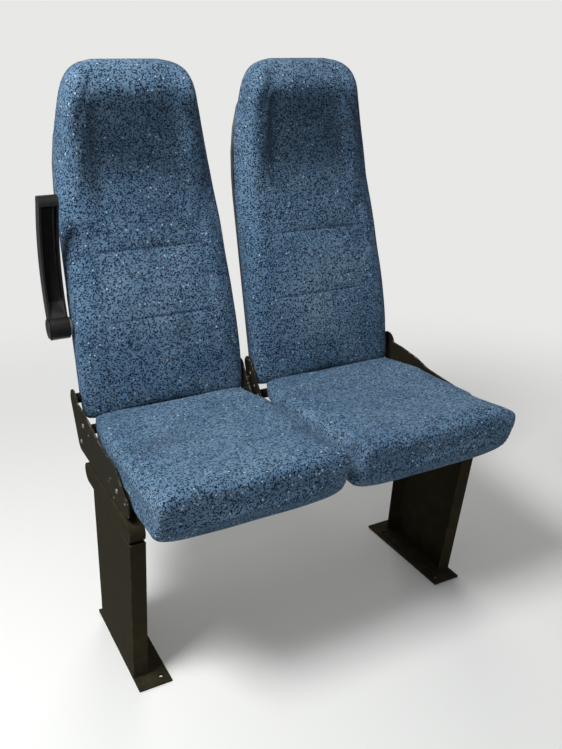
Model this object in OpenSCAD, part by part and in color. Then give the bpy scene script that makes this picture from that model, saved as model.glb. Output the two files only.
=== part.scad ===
// Double passenger seat of a bus: two high backed seats on one floor frame,
// with a folding armrest on the aisle side.
// The seats face -Y and the aisle is at -X. The origin is the centre of the
// four floor bolts, on the floor.

/* [Seats] */
// Distance between the middles of the two seats, or more if they are wider
seat_pitch = 462; // [448:1:480]
// Width of one cushion at its widest
cushion_w = 454; // [430:1:462]
// Height of the cushion's top at its rear edge
cushion_rear_z = 564; // [552:1:580]
// Rise of the cushion's front edge over its rear edge
cushion_rise = 30; // [15:1:40]
// Distance from the front of the cushion to its rear edge
cushion_d = 517; // [500:1:530]
// Width of one backrest just above the cushion
back_w = 432; // [400:1:436]
// Length of the backrest from the cushion line to its top
back_len = 815; // [760:5:840]
// Lean of the backrest from the vertical, in degrees
back_lean = 11.3; // [8:0.1:13]
// Thickness of the backrest padding at mid height
back_pad_t = 75; // [68:1:80]
// How far the head wings stand forward
wing_out = 36; // [10:1:45]
// Depth of the moulded shell behind each backrest
shell_t = 15; // [13:1:20]
// Wall of the moulded shells
shell_wall = 4; // [3:0.5:5]
// Depth of the knee recess in the rear of each shell
knee_recess = 5; // [2:0.5:6]

/* [Legs] */
// Height of the top of the legs' head rails above the floor
rail_top_z = 456; // [420:1:460]
// Height of a head rail
rail_h = 50; // [44:1:56]
// Length of a head rail
rail_len = 340; // [320:5:360]
// Width of a leg and its head rail across the bus
leg_w = 36; // [30:1:44]
// Length of a leg at its top, along the bus
leg_top_len = 272; // [240:1:280]
// Length of a leg at its foot, along the bus
leg_foot_len = 251; // [220:1:260]
// How far the leg's foot is set back from its top
leg_rake = 60; // [40:1:64]
// Sheet thickness of the legs and head rails
sheet_t = 3; // [2:0.5:4]
// Width of a foot plate
foot_w = 80; // [76:1:100]
// Length of a foot plate
foot_len = 330; // [320:1:350]
// How far the foot plates' middle lies behind the middle of the floor bolts
foot_set_back = 15; // [8:1:20]
// Thickness of a foot plate
foot_t = 6; // [4:1:8]
// Distance between the floor bolts along the bus
bolt_dy = 250; // [240:1:260]
// Diameter of the holes for the floor bolts
bolt_hole_d = 11; // [9:0.5:13]

/* [Frame] */
// Side of the square cross tubes
tube_side = 35; // [30:1:40]
// Wall of the cross tubes
tube_wall = 2.5; // [2:0.5:3]
// Distance between the two cross tubes
tube_dy = 220; // [180:5:240]
// Thickness of the side plates
plate_t = 4; // [3:0.5:5]
// Diameter of the round tubes that carry the backrests
back_tube_d = 25; // [22:1:28]
// Wall of the round tubes
back_tube_wall = 2; // [1.5:0.5:3]
// Thickness of the board under each cushion
board_t = 12; // [9:1:15]

/* [Armrest] */
// Height of the armrest's pivot above the floor
arm_pivot_z = 764; // [745:1:790]
// Distance from the pivot to the armrest's tip
arm_len = 313; // [280:1:340]
// Width of the armrest
arm_w = 44; // [40:1:50]
// Radius of the armrest's round hub
arm_hub_r = 28; // [24:1:30]
// Depth of the armrest behind its hub, from its top face to its underside
arm_depth = 34; // [30:1:40]
// How far the middle of the folded armrest bows to the rear
arm_bow = 22; // [10:1:26]
// How far the tip of the folded armrest stands forward of its pivot
arm_tip_out = 28; // [10:1:32]
// Diameter of the armrest's pin
pin_d = 12; // [10:1:14]

/* [Hidden] */
$fn = 64;

LEG_COLOR = [0.23, 0.21, 0.18];
PLATE_COLOR = [0.13, 0.11, 0.09];
FABRIC_COLOR = [0.18, 0.31, 0.53];
SHELL_COLOR = [0.12, 0.12, 0.13];
BOARD_COLOR = [0.11, 0.085, 0.06];
ARM_COLOR = [0.05, 0.05, 0.05];
STEEL_COLOR = [0.55, 0.55, 0.56];

// Clearance between soft pieces and what they sit on
fit_gap = 0.3;
// Smallest gap between the two cushions
cushion_mid_gap = 4;
// Smallest distance from the middle to an inner side plate
plate_mid_gap = 7;
// Gap between a cushion's side and the outer side plate
cushion_side_gap = 1;
// Gap between a backrest's side and a side plate
back_side_gap = 1;
// How far a side plate's outer face lies inside the leg's outer face
plate_set = 3;
// How far the floor bolts lie inside the leg's outer face
bolt_inset = 60;
// How far a board lies inside the inner and the outer side plate
board_in_gap = 13;
board_out_gap = 9;

// Places across the bus, measured from the middle
seat_x = max(
    seat_pitch,
    cushion_w + cushion_mid_gap,
    back_w + 2 * (back_side_gap + plate_t + plate_mid_gap)
) / 2;
plate_in_x = seat_x + max(cushion_w / 2 + cushion_side_gap, back_w / 2 + back_side_gap);
frame_out_x = plate_in_x + plate_t + plate_set;
inner_plate_x = seat_x - back_w / 2 - plate_t - back_side_gap;
bolt_x = frame_out_x - bolt_inset;
board_in_x = inner_plate_x + plate_t + board_in_gap;
board_out_x = plate_in_x - board_out_gap;

// Levels above the floor
plate_lift = 10;
tube_top_z = rail_top_z + tube_side;
board_top_z = tube_top_z + board_t;
leg_top_z = rail_top_z - rail_h;
plate_low_z = rail_top_z + plate_lift;

// Places along the bus, +Y to the rear
cushion_rear_y = 187;
cushion_front_y = cushion_rear_y - cushion_d;
back_y = 190;
rail_front_y = -171;
leg_set_back = 4;
leg_front_top_y = rail_front_y + leg_set_back;
leg_front_foot_y = leg_front_top_y + leg_rake;

// Upper and lower back tubes: [y, z] of the middle of each
upper_tube_rise = 24;
lower_tube_drop = 52;
upper_tube = [238, cushion_rear_z + upper_tube_rise];
lower_tube = [208, cushion_rear_z - lower_tube_drop];

// Armrest's pivot
arm_gap = 3;
arm_pivot_y = 265;
arm_in_x = -(seat_x + back_w / 2 + arm_gap);
arm_out_x = arm_in_x - arm_w;
arm_wall = 5;
cap_t = 4;
eye_r = pin_d / 2 + 4;
pin_clear = 0.05;

// Backrest sections. Columns: place along the back as a share of its length,
// front width and rear width as shares of back_w, front face, trim of the rear
// face, wing share
BACK_SECTIONS = [
    [-0.029, 0.950, 0.960, 14, 4, 0],
    [-0.015, 0.985, 0.990, 4, 0, 0],
    [0.06, 1.000, 1.000, -2, 0, 0],
    [0.16, 0.985, 1.000, -10, 0, 0.05],
    [0.27, 0.960, 1.000, -12, 0, 0.08],
    [0.39, 0.920, 1.000, -7, 0, 0.08],
    [0.52, 0.882, 1.000, -2, 0, 0.08],
    [0.59, 0.842, 0.998, 4, 0, 0.20],
    [0.65, 0.803, 0.990, 9, 0, 0.62],
    [0.725, 0.772, 0.965, 12, 0, 1],
    [0.80, 0.756, 0.912, 9, 0, 1],
    [0.865, 0.745, 0.832, 0, 0, 0.90],
    [0.918, 0.722, 0.765, -13, 0, 0.60],
    [0.951, 0.685, 0.702, -14, 2, 0.28],
    [0.976, 0.612, 0.630, -5, 7, 0.06],
    [0.992, 0.505, 0.530, 10, 15, 0],
    [1, 0.385, 0.410, 25, 28, 0],
];

// Cushion sections. Columns: place from the front edge, width share, how far
// the width has gone over to that of the rear edge, rise of the underside, drop
// of the top, dish of the top. The underside is measured from the board's top
// and the drop from the crest.
skirt_y = 172;
cushion_rear_w = back_w - 28;
CUSHION_SECTIONS = [
    [0, 0.925, 0, 50, 16, 0],
    [7, 0.962, 0, 24, 7, 1],
    [24, 0.985, 0, -12, 2, 3],
    [44, 0.996, 0, -38, 0, 4],
    [60, 1, 0, -47, 0, 5],
    [100, 1, 0, -43, 0, 7],
    [skirt_y - 3, 1, 0, -36, 1, 10],
    [skirt_y, 1, 0, 0, 1, 10],
    [300, 1, 0, 0, 1, 12],
    [375, 1, 0, 0, 0, 10],
    [448, 1, 0.57, 0, 0, 8],
    [500, 1, 1, 0, 1, 6],
    [510, 0.989, 1, 27, 3, 4],
    [517, 0.973, 1, 45, 8, 2],
];

// How far a cushion's sides stand over its dished middle line
crown = 6;

RING_STEPS = 40;

// How far the shell's edge lies inside the padding's edge
shell_inset = 18;
// Share of the padding's rear trim that the shell follows at its top
shell_top_taper = 0.3;

function spow(v, e) = sign(v) * pow(abs(v), e);
function clamp01(v) = min(1, max(0, v));
function smooth(v) = clamp01(v) * clamp01(v) * (3 - 2 * clamp01(v));

// Unit superellipse, squarer as the exponents grow: one for its upper half, or
// for its front, and one for its lower half, or for its rear
function unit_ring(high, low) = [
    for (i = [0:RING_STEPS - 1])
        let (a = (i + 0.5) * 360 / RING_STEPS, e = sin(a) > 0 ? high : low)
            [spow(cos(a), 2 / e), spow(sin(a), 2 / e)]
];

// Point of the backrest: s runs up the back, t runs to the rear
function back_point(x, s, t) = [
    x,
    back_y + s * sin(back_lean) + t * cos(back_lean),
    cushion_rear_z + s * cos(back_lean) - t * sin(back_lean)
];

function back_ring(row) = [
    for (p = unit_ring(5, 5))
        let (
            front = row[3],
            rear = back_pad_t - row[4],
            half_w = back_w / 2 * (row[1] * (1 + p[1]) + row[2] * (1 - p[1])) / 2,
            side = smooth((abs(p[0]) - 0.56) / 0.34),
            wing = wing_out * row[5] * side * max(0, p[1])
        )
            back_point(
                half_w * p[0],
                back_len * row[0],
                (front + rear) / 2 - (rear - front) / 2 * p[1] - wing
            )
];

// Share of the knee recess at a place x from -1 to 1 and a share of the length
function recess_share(x, share) =
    smooth((0.78 - abs(x)) / 0.16) * smooth((share - 0.08) / 0.08) * smooth((0.66 - share) / 0.09);

// Ring of the shell, drawn in by the inset on its sides, ends and rear
function shell_ring(row, inset) = [
    for (p = unit_ring(4, 4))
        let (
            front = back_pad_t + fit_gap - inset,
            rear = back_pad_t + fit_gap + shell_t - row[4] * shell_top_taper - inset,
            recess = p[1] < 0 ? knee_recess * recess_share(p[0], row[0]) : 0,
            middle = BACK_SECTIONS[8][0] * back_len,
            s = back_len * row[0],
            reach = (s - middle) * (1 - inset / middle) + middle
        )
            back_point(
                (back_w / 2 * row[2] - shell_inset - inset) * p[0],
                reach - (row[0] > 0.9 ? shell_inset : 0),
                (front + rear) / 2 - (rear - front) / 2 * p[1] - recess
            )
];

function cushion_ring(row) = [
    for (p = unit_ring(5.5, row[0] < skirt_y ? 5.5 : 9))
        let (
            share = row[0] / cushion_d,
            crest = cushion_rear_z + cushion_rise * (1 - share),
            low = board_top_z + row[3] + (row[0] < skirt_y || row[3] > 0 ? 0 : fit_gap),
            high = crest - row[4] + crown,
            dish = row[5] * (1 - p[0] * p[0]) * max(0, p[1]),
            w = row[1] * (cushion_w * (1 - row[2]) + cushion_rear_w * row[2])
        )
            [
                w / 2 * p[0],
                cushion_front_y + row[0],
                (low + high) / 2 + (high - low) / 2 * p[1] - dish
            ]
];

// Closed solid through rings that all have the same number of points
module loft(rings) {
    steps = len(rings[0]);
    last = len(rings) - 1;
    side_faces = [
        for (k = [0:last - 1], i = [0:steps - 1])
            let (j = (i + 1) % steps, a = k * steps, b = (k + 1) * steps)
                each [[a + i, a + j, b + j], [a + i, b + j, b + i]]
    ];
    caps = [
        [for (i = [steps - 1:-1:0]) i],
        [for (i = [0:steps - 1]) last * steps + i]
    ];
    polyhedron(points = [for (ring = rings) each ring], faces = concat(side_faces, caps));
}

// Puts an outline drawn as [y, z] into place, thick along +X from x
module sheet(x, thick) {
    translate([x, 0, 0])
        rotate([90, 0, 90])
            linear_extrude(height = thick)
                children();
}

// Mirrors a piece of the aisle side to the window side
module window_side() {
    mirror([1, 0, 0])
        children();
}

module round_tube(x1, x2, place, d, wall) {
    translate([x1, place[0], place[1]])
        rotate([0, 90, 0])
            difference() {
                cylinder(h = x2 - x1, d = d);
                translate([0, 0, -1])
                    cylinder(h = x2 - x1 + 2, d = d - 2 * wall);
            }
}

module round_bar(x1, x2, place, d) {
    translate([x1, place[0], place[1]])
        rotate([0, 90, 0])
            cylinder(h = x2 - x1, d = d);
}

// Legs and feet

module foot_plate() {
    color(LEG_COLOR)
        difference() {
            translate([-frame_out_x, foot_set_back - foot_len / 2, 0])
                cube([foot_w, foot_len, foot_t]);
            for (side = [-1, 1])
                translate([-bolt_x, side * bolt_dy / 2, -1])
                    cylinder(h = foot_t + 2, d = bolt_hole_d);
        }
}

// Side outline of a leg, drawn in by the inset
module leg_outline(inset) {
    polygon([
        [leg_front_foot_y + inset, foot_t + inset],
        [leg_front_foot_y + leg_foot_len - inset, foot_t + inset],
        [leg_front_top_y + leg_top_len - inset, leg_top_z - inset],
        [leg_front_top_y + inset, leg_top_z - inset],
    ]);
}

// A folded sheet, open to the inside
module leg() {
    color(LEG_COLOR)
        difference() {
            sheet(-frame_out_x, leg_w)
                leg_outline(0);
            sheet(-frame_out_x + sheet_t, leg_w)
                leg_outline(sheet_t);
        }
}

// Rail outline with round ends
module rail_outline(inset) {
    r = rail_h / 2 - inset;
    middle_z = rail_top_z - rail_h / 2;
    front = rail_front_y + rail_h / 2;
    rear = rail_front_y + rail_len - rail_h / 2;
    translate([front, middle_z])
        circle(r = r);
    translate([rear, middle_z])
        circle(r = r);
    translate([front, middle_z - r])
        square([rear - front, 2 * r]);
}

module head_rail() {
    color(LEG_COLOR)
        difference() {
            sheet(-frame_out_x, leg_w)
                rail_outline(0);
            sheet(-frame_out_x + sheet_t, leg_w)
                rail_outline(sheet_t);
        }
}

// Cross tubes

module cross_tube(y) {
    color(LEG_COLOR)
        translate([-plate_in_x, y - tube_side / 2, rail_top_z])
            difference() {
                cube([2 * plate_in_x, tube_side, tube_side]);
                translate([-1, tube_wall, tube_wall])
                    cube([2 * plate_in_x + 2, tube_side - 2 * tube_wall, tube_side - 2 * tube_wall]);
            }
}

// Side plates

function arc(middle, r, from, to, steps = 8) = [
    for (i = [0:steps])
        let (a = from + (to - from) * i / steps)
            middle + r * [cos(a), sin(a)]
];

outer_horn_r = 30;
inner_horn_r = 22;
horn_lean = 12;

// How far a horn's rear edge and its top stand beyond the middle of the upper tube
horn_past_tube = [24, 26];

heel_r = 26;
heel_y = 198;
outer_tip_r = 25;
outer_tip_y = -144;
inner_tip_r = 17;
inner_tip_y = cushion_front_y + skirt_y + inner_tip_r + 2;

// Points of the horn's front edge and of what leads from it down to the tip
outer_shoulder = [
    [160, plate_low_z + 122],
    [90, plate_low_z + 112],
    [40, plate_low_z + 98],
    [-85, plate_low_z + 88]
];
inner_shoulder = [[178, plate_low_z + 78], [146, board_top_z - 3]];

// Outline of a side plate: round tip, lower edge, heel, leaning horn, shoulder
function plate_points(tip_y, tip_r, horn_r, shoulder) = concat(
    arc([tip_y, plate_low_z + tip_r], tip_r, 90, 270),
    arc([heel_y, plate_low_z + heel_r], heel_r, 270, 360 - horn_lean, 5),
    arc(upper_tube + horn_past_tube - [horn_r, horn_r], horn_r, -horn_lean, 180 - horn_lean),
    shoulder
);

module side_plate_outer() {
    color(PLATE_COLOR)
        sheet(-plate_in_x - plate_t, plate_t)
            polygon(plate_points(outer_tip_y, outer_tip_r, outer_horn_r, outer_shoulder));
}

module side_plate_inner() {
    color(PLATE_COLOR)
        sheet(-inner_plate_x - plate_t, plate_t)
            difference() {
                polygon(plate_points(inner_tip_y, inner_tip_r, inner_horn_r, inner_shoulder));
                for (side = [-1, 1])
                    translate([side * tube_dy / 2 - tube_side / 2 - fit_gap, rail_top_z])
                        square([tube_side + 2 * fit_gap, tube_side]);
            }
}

// Cushions

module cushion_board() {
    board_y1 = cushion_front_y + skirt_y + 4;
    board_y2 = cushion_rear_y - 18;
    color(BOARD_COLOR)
        translate([-board_out_x, board_y1, tube_top_z])
            cube([board_out_x - board_in_x, board_y2 - board_y1, board_t]);
}

module cushion() {
    color(FABRIC_COLOR)
        translate([-seat_x, 0, 0])
            loft([for (row = CUSHION_SECTIONS) cushion_ring(row)]);
}

// Backrests

module back_rails() {
    x1 = -plate_in_x;
    x2 = -inner_plate_x - plate_t;
    color(LEG_COLOR) {
        round_tube(x1, x2, upper_tube, back_tube_d, back_tube_wall);
        round_tube(x1, x2, lower_tube, back_tube_d, back_tube_wall);
    }
}

module back_pad() {
    color(FABRIC_COLOR)
        difference() {
            translate([-seat_x, 0, 0])
                loft([for (row = BACK_SECTIONS) back_ring(row)]);
            round_bar(-2 * seat_x - 50, 50, upper_tube, back_tube_d + 2 * fit_gap);
        }
}

shell_front = back_pad_t + fit_gap;
rib_t = 3;
rib_columns = [-0.56, -0.19, 0.19, 0.56];
rib_rows = [0.12, 0.29, 0.46, 0.63, 0.80];
rib_ends = [0.02, 0.95];

// Puts a piece drawn upright about the foot of a backrest into its lean
module at_back() {
    translate([-seat_x, back_y, cushion_rear_z])
        rotate([-back_lean, 0, 0])
            children();
}

// Crossing ribs inside a shell, cut to its form just within the wall
module shell_ribs() {
    low = rib_ends[0] * back_len;
    high = rib_ends[1] * back_len;
    side = rib_columns[3] * back_w / 2;
    intersection() {
        translate([-seat_x, 0, 0])
            loft([for (row = BACK_SECTIONS) shell_ring(row, shell_wall / 2)]);
        at_back() {
            for (share = rib_columns)
                translate([share * back_w / 2 - rib_t / 2, shell_front, low])
                    cube([rib_t, shell_t, high - low]);
            for (share = rib_rows)
                translate([-side, shell_front, share * back_len - rib_t / 2])
                    cube([2 * side, shell_t, rib_t]);
        }
    }
}

// One of the two feet that clip a shell on the lower tube
module shell_clip(x) {
    clip_w = 46;
    clip_front = 8;
    clip_low = -66;
    clip_high = BACK_SECTIONS[0][0] * back_len - fit_gap;
    tie_high = 60;
    tie_t = 8;
    at_back()
        translate([x - clip_w / 2, 0, clip_low]) {
            translate([0, clip_front, 0])
                cube([clip_w, shell_front, clip_high - clip_low]);
            translate([0, shell_front, 0])
                cube([clip_w, tie_t, tie_high - clip_low]);
        }
}

// Moulded shell, open to the padding, ribbed inside
module back_shell() {
    clip_x = back_w * 0.3;
    color(SHELL_COLOR)
        difference() {
            union() {
                difference() {
                    translate([-seat_x, 0, 0])
                        loft([for (row = BACK_SECTIONS) shell_ring(row, 0)]);
                    translate([-seat_x, 0, 0])
                        loft([for (row = BACK_SECTIONS) shell_ring(row, shell_wall)]);
                }
                shell_ribs();
                for (side = [-1, 1])
                    shell_clip(side * clip_x);
            }
            round_bar(-2 * seat_x - 50, 50, lower_tube, back_tube_d + 2 * fit_gap);
        }
}

// Armrest

boss_flange_r = 22;
boss_flange_t = 5;
boss_stem_r = 15;
boss_out_x = arm_in_x + 1;
boss_in_x = boss_out_x + 41;

module boss_solid(grow) {
    pivot = [arm_pivot_y, arm_pivot_z];
    flange_in_x = boss_out_x + boss_flange_t;
    round_bar(boss_out_x - grow, flange_in_x + grow, pivot, 2 * (boss_flange_r + grow));
    round_bar(flange_in_x - 2, boss_in_x + grow, pivot, 2 * (boss_stem_r + grow));
}

// The aisle backrest has a recess for the armrest's boss
module back_pad_aisle() {
    color(FABRIC_COLOR)
        difference() {
            back_pad();
            boss_solid(fit_gap);
        }
}

module armrest_boss() {
    color(STEEL_COLOR)
        difference() {
            boss_solid(0);
            round_bar(boss_out_x - 1, boss_in_x + 1, [arm_pivot_y, arm_pivot_z], pin_d);
        }
}

module armrest_pin() {
    color(STEEL_COLOR)
        round_bar(arm_out_x + 1, boss_in_x, [arm_pivot_y, arm_pivot_z], pin_d);
}

// Puts an armrest piece drawn about its pivot, arm up, into its folded place
module at_pivot() {
    translate([0, arm_pivot_y, arm_pivot_z])
        children();
}

// Point of the arm's bowed middle line at a share f of its length, moved
// to the rear by side
function arm_point(f, side) = [
    (4 * arm_bow + arm_tip_out) * f - (4 * arm_bow + 2 * arm_tip_out) * f * f + side,
    arm_len * f
];

// Steel eye on the pin with a bent flat bar up the arm. As a cut, the eye
// reaches past the arm's inner face.
module core_solid(past = 0) {
    bar_w = 24;
    bar_t = 5;
    bar_side = 3;
    mid_x = (arm_in_x + arm_out_x) / 2;
    shares = [0:0.1:0.9];
    round_bar(arm_out_x + 1, arm_in_x + past, [0, 0], 2 * eye_r);
    sheet(mid_x - bar_w / 2, bar_w)
        polygon(concat(
            [for (f = shares) arm_point(f, bar_side)],
            [for (f = shares) arm_point(0.9 - f, bar_side + bar_t)]
        ));
}

module armrest_core() {
    color(STEEL_COLOR)
        at_pivot()
            difference() {
                core_solid();
                round_bar(arm_out_x, arm_in_x + 1, [0, 0], pin_d + 2 * pin_clear);
            }
}

// Side outline of the moulded arm between two shares of its length
module arm_strip(f1, f2, front, rear) {
    steps = 14;
    polygon(concat(
        [for (i = [0:steps]) arm_point(f1 + (f2 - f1) * i / steps, -front)],
        [for (i = [0:steps]) arm_point(f2 - (f2 - f1) * i / steps, rear)]
    ));
}

// Channel in the front of the arm, whose floor ramps in from just over the hub
groove_low = 0.086;
groove_ramp = 0.13;
groove_high = 0.925;
function groove_floor(f) =
    -arm_depth / 2 + (arm_depth - 2 * arm_wall) * smooth((f - groove_low) / groove_ramp);

module arm_groove() {
    steps = 20;
    shares = [for (i = [0:steps]) groove_low + (groove_high - groove_low) * i / steps];
    polygon(concat(
        [arm_point(groove_high, -2 * arm_depth), arm_point(groove_low, -2 * arm_depth)],
        [for (f = shares) arm_point(f, groove_floor(f))]
    ));
}

module armrest_pad() {
    half = arm_depth / 2;
    tip = arm_point(1 - half / arm_len, 0);
    color(ARM_COLOR)
        at_pivot()
            difference() {
                union() {
                    round_bar(arm_out_x, arm_in_x, [0, 0], 2 * arm_hub_r);
                    sheet(arm_out_x, arm_w)
                        arm_strip(0, 1 - half / arm_len, half, half);
                    round_bar(arm_out_x, arm_in_x, tip, arm_depth);
                }
                sheet(arm_out_x + arm_wall, arm_w - 2 * arm_wall)
                    arm_groove();
                core_solid(1);
            }
}

module armrest_cap() {
    color(ARM_COLOR)
        at_pivot()
            round_bar(arm_out_x - cap_t, arm_out_x, [0, 0], 2 * (arm_hub_r - 4));
}

foot_plate();  // foot_plate_aisle
window_side() foot_plate();  // foot_plate_window
leg();  // leg_aisle
window_side() leg();  // leg_window
head_rail();  // head_rail_aisle
window_side() head_rail();  // head_rail_window
cross_tube(-tube_dy / 2);  // cross_tube_front
cross_tube(tube_dy / 2);  // cross_tube_rear
side_plate_outer();  // side_plate_aisle_outer
side_plate_inner();  // side_plate_aisle_inner
window_side() side_plate_inner();  // side_plate_window_inner
window_side() side_plate_outer();  // side_plate_window_outer
cushion_board();  // cushion_board_aisle
window_side() cushion_board();  // cushion_board_window
cushion();  // cushion_aisle
window_side() cushion();  // cushion_window
back_rails();  // back_rails_aisle
window_side() back_rails();  // back_rails_window
back_pad_aisle();
window_side() back_pad();  // back_pad_window
back_shell();  // back_shell_aisle
window_side() back_shell();  // back_shell_window
armrest_boss();
armrest_pin();
armrest_core();
armrest_pad();
armrest_cap();
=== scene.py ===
# %% [markdown]
# # A double passenger seat of a bus
# Two high backed seats share one steel frame: raked legs of folded sheet at both ends, two square
# tubes across, dark side plates with a leaning horn, and a folding armrest at the aisle. The packed
# model holds every piece at its real size. This lesson dresses it: padding that is inflated as cloth,
# speckled upholstery, painted steel, a grained shell, screws, stitches and weld beads.

# %% Load the frame and keep its box
import math

import bmesh
import bpy
import numpy as np
from mathutils import Matrix, Vector, noise
from mathutils.bvhtree import BVHTree


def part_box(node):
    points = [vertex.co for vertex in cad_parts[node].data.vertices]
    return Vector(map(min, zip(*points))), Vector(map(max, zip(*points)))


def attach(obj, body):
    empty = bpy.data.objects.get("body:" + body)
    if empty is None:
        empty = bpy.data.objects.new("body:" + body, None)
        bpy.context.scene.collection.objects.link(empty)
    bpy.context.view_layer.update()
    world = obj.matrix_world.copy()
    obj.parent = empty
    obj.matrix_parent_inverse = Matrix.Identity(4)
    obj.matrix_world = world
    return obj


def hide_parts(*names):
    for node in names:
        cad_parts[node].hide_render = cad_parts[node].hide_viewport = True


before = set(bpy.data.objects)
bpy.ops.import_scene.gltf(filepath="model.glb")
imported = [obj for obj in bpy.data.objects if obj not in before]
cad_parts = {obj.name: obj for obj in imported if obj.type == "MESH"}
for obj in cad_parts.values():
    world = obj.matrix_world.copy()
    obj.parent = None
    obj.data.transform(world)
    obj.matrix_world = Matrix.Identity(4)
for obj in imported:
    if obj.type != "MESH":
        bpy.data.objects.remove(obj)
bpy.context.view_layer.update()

scene = bpy.context.scene
scene.view_settings.view_transform = "Standard"
MM = 0.001

# %% [markdown]
# ## The camera
# The photograph was taken from in front of the seat and to its left, 1.37 m above the floor. The camera
# keeps that place, because perspective depends on place alone, and only turns to the whole seat. A lens
# of 38.5 mm then fills the picture with it.

# %% Camera
EYE = Vector((-0.856, -1.57, 1.37))
AIM = Vector((0.02, 0.07, 0.62))
LENS_MM = 38.5

camera = bpy.data.objects.new("camera", bpy.data.cameras.new("camera"))
scene.collection.objects.link(camera)
camera.location = EYE
camera.rotation_euler = (AIM - EYE).to_track_quat("-Z", "Y").to_euler()
camera.data.lens = LENS_MM
scene.camera = camera
print("camera looks down by", round(math.degrees(math.asin((EYE - AIM).normalized().z)), 1), "degrees")

# %% [markdown]
# ## Small helpers
# Every finished piece is a plain mesh whose object stays at the origin. These helpers make such an
# object, turn a modifier's result into a plain mesh, and dress a piece: material, body, replaced nodes.

# %% Mesh helpers


def put_in_scene(name, mesh):
    piece = bpy.data.objects.new(name, mesh)
    scene.collection.objects.link(piece)
    return piece


def mesh_from(name, points, faces=(), edges=()):
    mesh = bpy.data.meshes.new(name)
    mesh.from_pydata([tuple(p) for p in points], edges, faces)
    mesh.update()
    return mesh


def bake_modifiers(piece):
    """Replaces the piece's mesh by what its modifiers make of it."""
    graph = bpy.context.evaluated_depsgraph_get()
    result = bpy.data.meshes.new_from_object(
        piece.evaluated_get(graph), preserve_all_data_layers=True, depsgraph=graph
    )
    piece.modifiers.clear()
    old = piece.data
    piece.data = result
    result.name = piece.name
    if old.users == 0:
        bpy.data.meshes.remove(old)
    return piece


def vectors_of(mesh, key):
    """One vector for each point of a mesh, as the rows of an array."""
    flat = np.empty(len(mesh.vertices) * 3)
    mesh.vertices.foreach_get(key, flat)
    return flat.reshape(-1, 3)


def points_of(mesh):
    return vectors_of(mesh, "co")


def normals_of(mesh):
    return vectors_of(mesh, "normal")


def set_points(mesh, points):
    mesh.vertices.foreach_set("co", np.asarray(points, float).ravel())
    mesh.update()


def dress(piece, material, replaced=(), body="frame"):
    """Gives a finished piece its material, its body and the nodes that it stands for."""
    piece.data.materials.clear()
    piece.data.materials.append(material)
    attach(piece, body)
    if replaced:
        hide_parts(*replaced)
    print(piece.name, len(piece.data.polygons), "faces")
    return piece


def ease(value):
    """Smooth step from 0 at 0 to 1 at 1, for numbers and arrays."""
    v = np.clip(value, 0, 1)
    return v * v * (3 - 2 * v)


# %% [markdown]
# ## Shader groups
# Four effects come back in several finishes, so each is a node group that is built once: the speckled
# pile of the upholstery, dust that settles and rubs off, wear on edges, and a fine surface grain. A
# group gives out colours, masks and heights only. The shader itself stays in the material.

# %% Group helpers


def group(name, inputs, outputs, kind="ShaderNodeTree"):
    """An empty node group. Its inputs are (name, kind, default) and its outputs (name, kind)."""
    tree = bpy.data.node_groups.new(name, kind)
    for label, socket_kind, default in inputs:
        socket = tree.interface.new_socket(label, in_out="INPUT", socket_type="NodeSocket" + socket_kind)
        if default is not None:
            socket.default_value = default
    for label, socket_kind in outputs:
        tree.interface.new_socket(label, in_out="OUTPUT", socket_type="NodeSocket" + socket_kind)
    return tree, tree.nodes.new("NodeGroupInput").outputs, tree.nodes.new("NodeGroupOutput").inputs


def node(tree, kind, links=(), **settings):
    """A node with its settings, whose inputs are linked or set by name or number."""
    made = tree.nodes.new(kind)
    for key, value in settings.items():
        setattr(made, key, value)
    for key, value in dict(links).items():
        if isinstance(value, bpy.types.NodeSocket):
            tree.links.new(value, made.inputs[key])
        else:
            made.inputs[key].default_value = value
    return made


def math_node(tree, operation, a, b=0.0, c=0.0, clamp=False):
    return node(tree, "ShaderNodeMath", {0: a, 1: b, 2: c}, operation=operation, use_clamp=clamp).outputs[0]


def times(tree, a, b, clamp=False):
    return math_node(tree, "MULTIPLY", a, b, clamp=clamp)


def scaled(tree, value, by, plus):
    """The value times one number plus another."""
    return math_node(tree, "MULTIPLY_ADD", value, by, plus)


def mix_color(tree, factor, a, b):
    return node(tree, "ShaderNodeMix", {0: factor, 6: a, 7: b}, data_type="RGBA").outputs[2]


def split(tree, vector, axis):
    return node(tree, "ShaderNodeSeparateXYZ", {0: vector}).outputs[axis]


def facing_up(tree):
    """The upright part of the surface's direction, from -1 to 1."""
    return split(tree, node(tree, "ShaderNodeNewGeometry").outputs["Normal"], "Z")


def stored_value(tree, name):
    """A value that the mesh keeps on its points or faces."""
    return node(tree, "ShaderNodeAttribute", attribute_name=name, attribute_type="GEOMETRY").outputs["Fac"]


def remap(tree, value, low, high, to_low=0.0, to_high=1.0):
    """Maps low..high to to_low..to_high, smoothly and without going past them."""
    links = {"Value": value, "From Min": low, "From Max": high, "To Min": to_low, "To Max": to_high}
    return node(tree, "ShaderNodeMapRange", links, interpolation_type="SMOOTHSTEP").outputs[0]


def noise_node(tree, vector, scale, detail=2.0, roughness=0.5):
    links = {"Vector": vector, "Scale": scale, "Detail": detail, "Roughness": roughness}
    return node(tree, "ShaderNodeTexNoise", links).outputs["Fac"]


def rgb(red, green, blue):
    """A colour given as 0..255 values of the screen, turned to the linear values that shaders take."""
    shares = (c / 255 for c in (red, green, blue))
    return (*(s / 12.92 if s <= 0.04045 else ((s + 0.055) / 1.055) ** 2.4 for s in shares), 1.0)
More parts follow.
